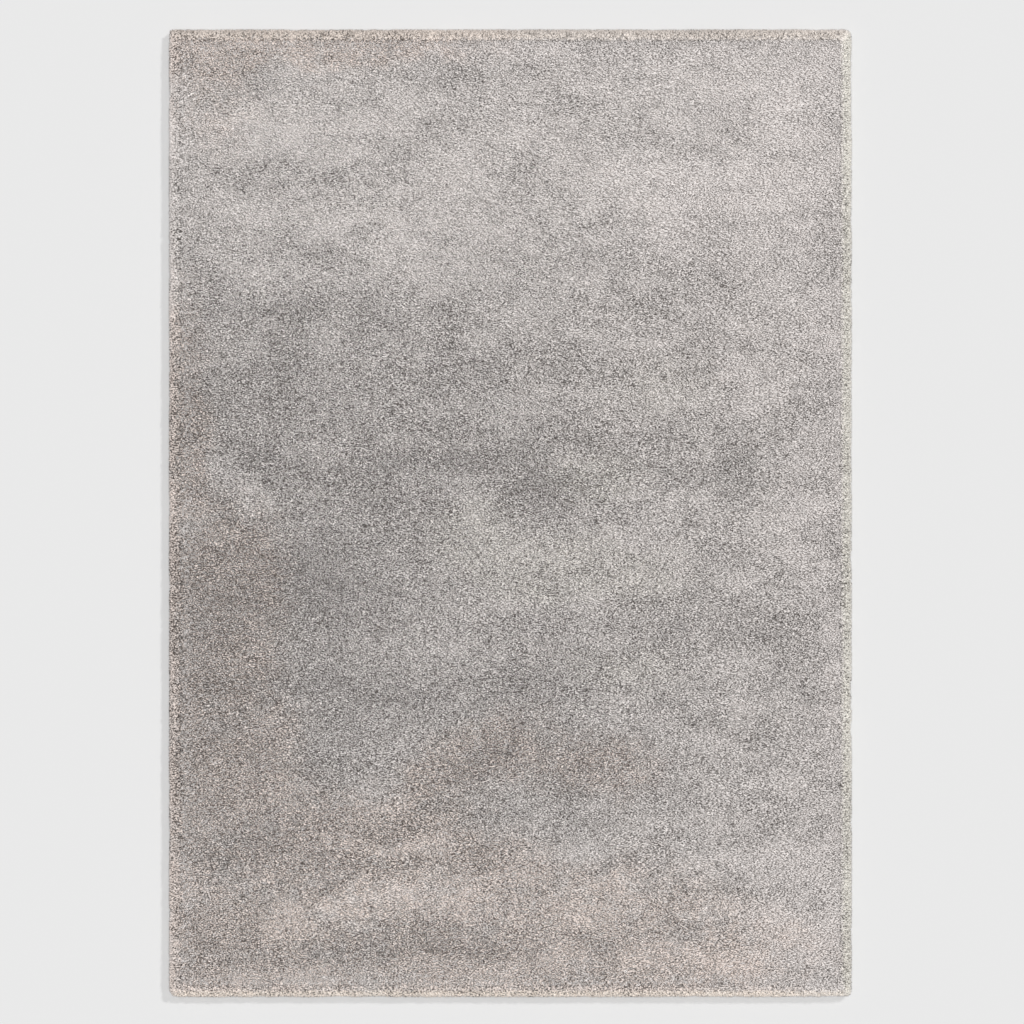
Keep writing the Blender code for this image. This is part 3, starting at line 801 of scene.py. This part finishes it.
def tuft_facts(x, y, tip_x, tip_y, fields, rng):
    """What the yarn's material reads from each tuft: its tone, grain, warmth and cream. Its tone holds
    painted light and shade, of the pile's lay and of each side of the rim; its cream holds a painted
    highlight in the rim's band.
    """
    warped_x, warped_y = fields["warped"](x, y)
    # The tone starts from the painted light and shade of the pile's lay.
    tone = shades_at(warped_x, warped_y)
    for mottle in MOTTLES:
        tone *= 1 + mottle.share * fields[mottle](x, y)
    depth = -outside_by(tip_x, tip_y)
    at_edge = 1 - ease(depth / RIM_DEPTH)
    even = 1 - RIM_EVEN * at_edge
    grain = even * GRAIN / tone**GRAIN_IN_LIGHT
    stray = TONE_STRAY_MEAN + even * rng.normal(0, TONE_STRAY, len(x)) / tone**2
    tone *= np.clip(stray, *TONE_STRAY_LIMITS)
    # Painted light or shade on each side of the rim, by the way it faces.
    tone *= 1 + at_rim(tip_x, tip_y, "tone") * at_edge
    fine, wide = HUE_SHARES
    blotch = fine * fields["hue"](x, y) + wide * fields["hue_wide"](x, y)
    warm = tint_at(warped_x, warped_y, WARMTHS) * (1 + blotch) + HUE_SPREAD * blotch
    warm += rng.normal(0, WARM_STRAY, len(x))
    start, end = BAND_FADE
    in_band = 1 - ease((depth / at_rim(tip_x, tip_y, "band") - start) / (end - start))
    warm += in_band * at_rim(tip_x, tip_y, "warm")
    # The cream in a side's band is a painted highlight.
    cream = in_band * at_rim(tip_x, tip_y, "cream")
    cream += CREAM_SHARE * tint_at(warped_x, warped_y, CREAMS)
    return {
        "tone": tone,
        "grain": grain,
        "warm": np.clip(warm, 0, WARM_MOST),
        "cream": np.clip(cream, 0, 1),
    }


def pile_places(rng):
    """Places on a jittered net all over the rug, twice as many near its rim."""
    nx = int(2 * HALF_WIDTH / TUFT_PITCH)
    ny = int(2 * HALF_LENGTH / TUFT_PITCH)
    x, y = np.meshgrid(np.arange(nx) + 0.5, np.arange(ny) + 0.5, indexing="ij")
    x = (x.ravel() + rng.uniform(-PITCH_STRAY, PITCH_STRAY, x.size)) * TUFT_PITCH - nx * TUFT_PITCH / 2
    y = (y.ravel() + rng.uniform(-PITCH_STRAY, PITCH_STRAY, y.size)) * TUFT_PITCH - ny * TUFT_PITCH / 2
    keep = outside_by(x, y) < -rng.uniform(*TUFTS_START, x.size)
    x, y = x[keep], y[keep]
    close = outside_by(x, y) > -THICK_RIM
    x = np.concatenate([x, x[close] + rng.uniform(-0.5, 0.5, close.sum()) * TUFT_PITCH])
    y = np.concatenate([y, y[close] + rng.uniform(-0.5, 0.5, close.sum()) * TUFT_PITCH])
    return pulled_in(x, y, TUFTS_START[0])


def pile(rng, fields, material):
    """Tufts all over the rug, which lean its way and turn outward near its rim."""
    x, y = pile_places(rng)
    count = len(x)
    turn = np.radians(
        TURN_WIDE_DEG * fields["turn_wide"](x, y)
        + TURN_CLOSE_DEG * fields["turn_close"](x, y)
        + rng.normal(0, TURN_STRAY_DEG, count)
    )
    stray = rng.uniform(*LEAN_STRAY, count)
    lean = TUFT_LEAN * (1 + LEAN_WAVE * fields["lean"](x, y)) * stray
    depth = -outside_by(x, y) - TUFTS_START[0] + rng.normal(0, TURN_DEPTH_STRAY, count)
    lean = lean * ease(depth / TURN_WIDTH)
    edge_lean = EDGE_LEAN * stray * (1 - ease(depth / EDGE_WIDTH))
    out_x, out_y = outward(x, y)
    tip_x = x + lean * np.cos(turn) + edge_lean * out_x
    tip_y = y + lean * np.sin(turn) + edge_lean * out_y
    splay = TIP_STRAY + RIM_SPLAY * (1 - ease(depth / TURN_WIDTH))
    tip_x = tip_x + rng.normal(0, 1, count) * splay
    tip_y = tip_y + rng.normal(0, 1, count) * splay
    tip_x, tip_y = kept_inside(tip_x, tip_y, rim_inset(x, y, fields, rng), out_x, out_y)
    top = TOP_LEVEL + fields["swell"](x, y)
    drop = np.interp(-outside_by(tip_x, tip_y), *zip(*RIM_PROFILE))
    tip_z = top - drop - rng.uniform(0, 1, count) * TUFT_DROP
    tip_z = np.minimum(tip_z, PILE_TOP - TOP_CLEARANCE)
    root_z = np.maximum(fields["roots"](x, y) - TUFT_SINK, CLOTH_THICKNESS)
    facts = tuft_facts(x, y, tip_x, tip_y, fields, rng)
    roots = np.stack([x, y, root_z], -1)
    tips = np.stack([tip_x, tip_y, tip_z], -1)
    upright = 1 - np.hypot(tip_x - x, tip_y - y) / TUFT_LEAN
    widths = TUFT_WIDTH * rng.uniform(*WIDTH_STRAY, count)
    widths *= 1 + WIDER_UPRIGHT * np.clip(upright, 0, 1)
    return tuft_pieces("pile", roots, tips, widths, facts, rng, material)


def rim_run(spacing, rng):
    """Places spread evenly round the rug, on its sides."""
    sides = 2 * np.array([HALF_LENGTH, HALF_WIDTH, HALF_LENGTH, HALF_WIDTH])
    starts = np.concatenate([[0], np.cumsum(sides)])
    count = int(starts[-1] / spacing)
    run = (np.arange(count) + rng.uniform(0, 1, count)) * starts[-1] / count
    side = np.clip(np.searchsorted(starts, run, side="right") - 1, 0, 3)
    along = run - starts[side]
    heading = np.radians(np.array([90, 180, 270, 0]))[side]
    x = np.array([1, 1, -1, -1])[side] * HALF_WIDTH + along * np.cos(heading)
    y = np.array([-1, 1, 1, -1])[side] * HALF_LENGTH + along * np.sin(heading)
    return x, y


def rim(rng, fields, material):
    """The fan of tufts at the rug's edge."""
    x, y = rim_run(FAN_SPACING, rng)
    count = len(x)
    share = rng.uniform(0, 1, count)
    shares, *columns = zip(*FAN)
    root_depth, root_z, tip_depth, tip_z = (np.interp(share, shares, column) for column in columns)
    root_depth = root_depth + rng.uniform(0, 2, count) * FAN_ROOT_STRAY
    x, y = pulled_in(x, y, root_depth)
    out_x, out_y = outward(x, y)
    slant = rng.normal(0, FAN_STRAY, count)
    reach = root_depth - tip_depth + rng.normal(0, FAN_TIP_STRAY, count)
    tip_x = x + out_x * reach - out_y * slant
    tip_y = y + out_y * reach + out_x * slant
    tip_x, tip_y = kept_inside(tip_x, tip_y, rim_inset(x, y, fields, rng), out_x, out_y)
    tip_z = tip_z + share * fields["swell"](x, y)
    tip_z = np.maximum(tip_z + rng.normal(0, FAN_TIP_STRAY, count), LEAST_HEIGHT)
    facts = tuft_facts(x, y, tip_x, tip_y, fields, rng)
    widths = FAN_TUFT_WIDTH * rng.uniform(*WIDTH_STRAY, count)
    roots = np.stack([x, y, root_z], -1)
    tips = np.stack([tip_x, tip_y, tip_z], -1)
    return tuft_pieces("pile_rim", roots, tips, widths, facts, rng, material)


def make_rug():
    rng = np.random.default_rng(SEED)
    height = cad_height_field()

    def swell(x, y):
        """How far the pile stands above or below its mean level."""
        return SWELL_SHARE * (height(*pulled_in(x, y, SOLID_RIM)) - SOLID_LEVEL)

    def cloth_top(x, y):
        return np.full_like(x, CLOTH_THICKNESS)

    def roots_top(x, y):
        """Height of the roots' surface, which is lower at its edge and higher just inside it."""
        depth = -outside_by(x, y) - ROOTS_INSET
        full, end = ROOTS_LIFT_DEPTH
        lift = ROOTS_LIFT * (1 - ease((depth - full) / (end - full)))
        level = ROOTS_LEVEL + lift + swell(x, y)
        return ROOTS_AT_EDGE + (level - ROOTS_AT_EDGE) * ease(depth / ROOTS_ROLL)

    cloth = slab("ground_cloth", CLOTH_INSET, CLOTH_STEP, 0.0, cloth_top, cloth_material())
    bottom = CLOTH_THICKNESS - ROOTS_IN_CLOTH
    roots = slab("pile_roots", ROOTS_INSET, ROOTS_STEP, bottom, roots_top, roots_material(), ROOTS_LINES)
    places = np.array([v.co[:2] for v in roots.data.vertices])
    # The roots take the same painted light and shade of the pile's lay.
    set_attribute(roots, "tone", ROOTS_TONE * shades_at(places[:, 0], places[:, 1]))

    def field(size, stretch=1.0):
        """A function of places that gives smooth noise, with a seed of its own."""
        seed = rng.integers(1 << 30)
        return lambda x, y: noise(np.random.default_rng(seed), x / stretch, y, size)

    warps = [(shift, field(size), field(size)) for size, shift in WARPS]

    def warped(x, y):
        shift_x = sum(shift * across(x, y) for shift, across, _ in warps)
        shift_y = sum(shift * along(x, y) for shift, _, along in warps)
        return x + shift_x, y + shift_y

    fields = {"roots": roots_top, "swell": swell, "warped": warped}
    for row in FIELDS:
        fields[row.follows] = field(row.size, row.stretch)
    for mottle in MOTTLES:
        fields[mottle] = field(mottle.size, mottle.stretch)
    yarn = yarn_material()
    tufts = rim(rng, fields, yarn)
    tufts += pile(rng, fields, yarn)
    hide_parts(NODE)


# ---------------------------------------------------------------------------------------------
# Floor, light and camera.
# ---------------------------------------------------------------------------------------------
def make_stage():
    """The floor under the rug."""
    mesh = bpy.data.meshes.new("floor")
    corners = [(-1, -1), (1, -1), (1, 1), (-1, 1)]
    points = [(x * FLOOR_HALF, y * FLOOR_HALF, -FLOOR_UNDER) for x, y in corners]
    mesh.from_pydata(points, [], [(0, 1, 2, 3)])
    mesh.materials.append(floor_material())
    floor = bpy.data.objects.new("floor", mesh)
    bpy.context.scene.collection.objects.link(floor)


def make_light():
    """The lamps, and the even light from all round."""
    for lamp in LAMPS:
        data = bpy.data.lights.new(lamp.name, "SUN")
        data.energy = lamp.strength
        data.angle = math.radians(lamp.width_deg)
        carrier = bpy.data.objects.new(lamp.name, data)
        azimuth, elevation = math.radians(lamp.azimuth_deg), math.radians(lamp.elevation_deg)
        across = math.cos(elevation)
        towards = Vector((math.cos(azimuth) * across, math.sin(azimuth) * across, math.sin(elevation)))
        carrier.rotation_euler = towards.to_track_quat("Z", "Y").to_euler()
        bpy.context.scene.collection.objects.link(carrier)
    world = bpy.data.worlds.new("surround")
    world.use_nodes = True
    background = world.node_tree.nodes["Background"]
    background.inputs["Color"].default_value = (1.0, 1.0, 1.0, 1.0)
    background.inputs["Strength"].default_value = SURROUND_STRENGTH
    bpy.context.scene.world = world


def make_camera():
    """The camera, straight over the rug, with the photograph's frame at the height of the pile's top."""
    data = bpy.data.cameras.new("camera")
    data.sensor_width = SENSOR_WIDTH
    data.lens = SENSOR_WIDTH * (CAMERA_HEIGHT - PILE_TOP) / (PHOTO_SIDE_PX * METRES_PER_PX)
    data.clip_end = CAMERA_REACH
    camera = bpy.data.objects.new("camera", data)
    camera.location = (VIEW_OFF_X, VIEW_OFF_Y, CAMERA_HEIGHT)
    bpy.context.scene.collection.objects.link(camera)
    bpy.context.scene.camera = camera


bpy.context.scene.view_settings.view_transform = "Standard"
make_stage()
make_rug()
make_light()
make_camera()
